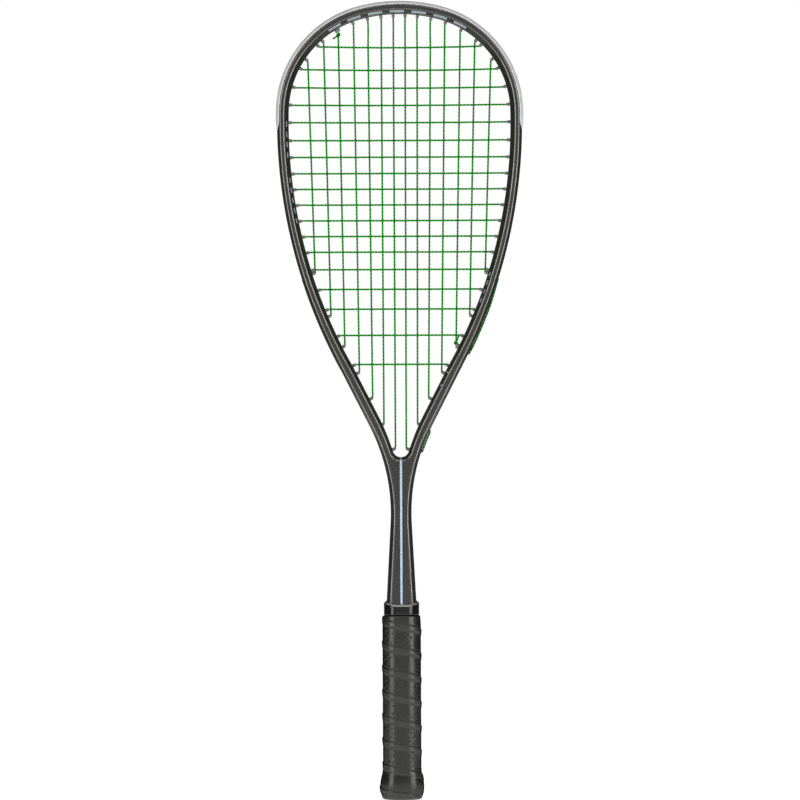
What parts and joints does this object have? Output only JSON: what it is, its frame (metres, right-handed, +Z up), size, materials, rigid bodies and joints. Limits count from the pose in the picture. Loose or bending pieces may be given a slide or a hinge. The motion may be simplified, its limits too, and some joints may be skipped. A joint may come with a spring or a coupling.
{
  "type": "squash racket",
  "caption": "Teardrop-headed squash racket: hollow carbon hoop and shaft, bumper guard, grommet strips, one woven string and a wrapped eight-sided handle.",
  "frame": {"origin": "centre of the flat butt end of the handle", "axes": "+Z up the shaft to the head, +X to the right in the string plane, -Y towards the front face"},
  "size_m": [0.2126, 0.0336, 0.6861],
  "materials": {
    "carbon": "satin clear coat over carbon fibre",
    "stripe_paint": "pale blue gloss paint",
    "guard_plastic": "translucent pale grey nylon",
    "grommet_plastic": "translucent pale grey nylon",
    "string_nylon": "green multifilament nylon with dark spiral fibres",
    "pallet_foam": "moulded rigid foam",
    "plug_foam": "open foam",
    "cap_plastic": "moulded black plastic",
    "disc_plastic": "moulded black plastic, plain",
    "staple_steel": "bright wire",
    "grip_wrap": "perforated synthetic wrap, matt",
    "tape": "black vinyl tape",
    "collar_rubber": "glossy black rubber"
  },
  "bodies": {
    "root": {"frame": "carbon", "bumper_guard": "guard_plastic", "side_grommet_strip_left": "grommet_plastic", "side_grommet_strip_right": "grommet_plastic", "throat_grommet_strip_left": "grommet_plastic", "throat_grommet_strip_right": "grommet_plastic", "string": "string_nylon", "pallet_front": "pallet_foam", "pallet_back": "pallet_foam", "stem_plug": "plug_foam", "butt_cap": "cap_plastic", "butt_end_disc": "disc_plastic", "staples": "staple_steel", "grip": "grip_wrap", "finishing_tape": "tape", "rubber_collar": "collar_rubber"}
  },
  "joints": []
}
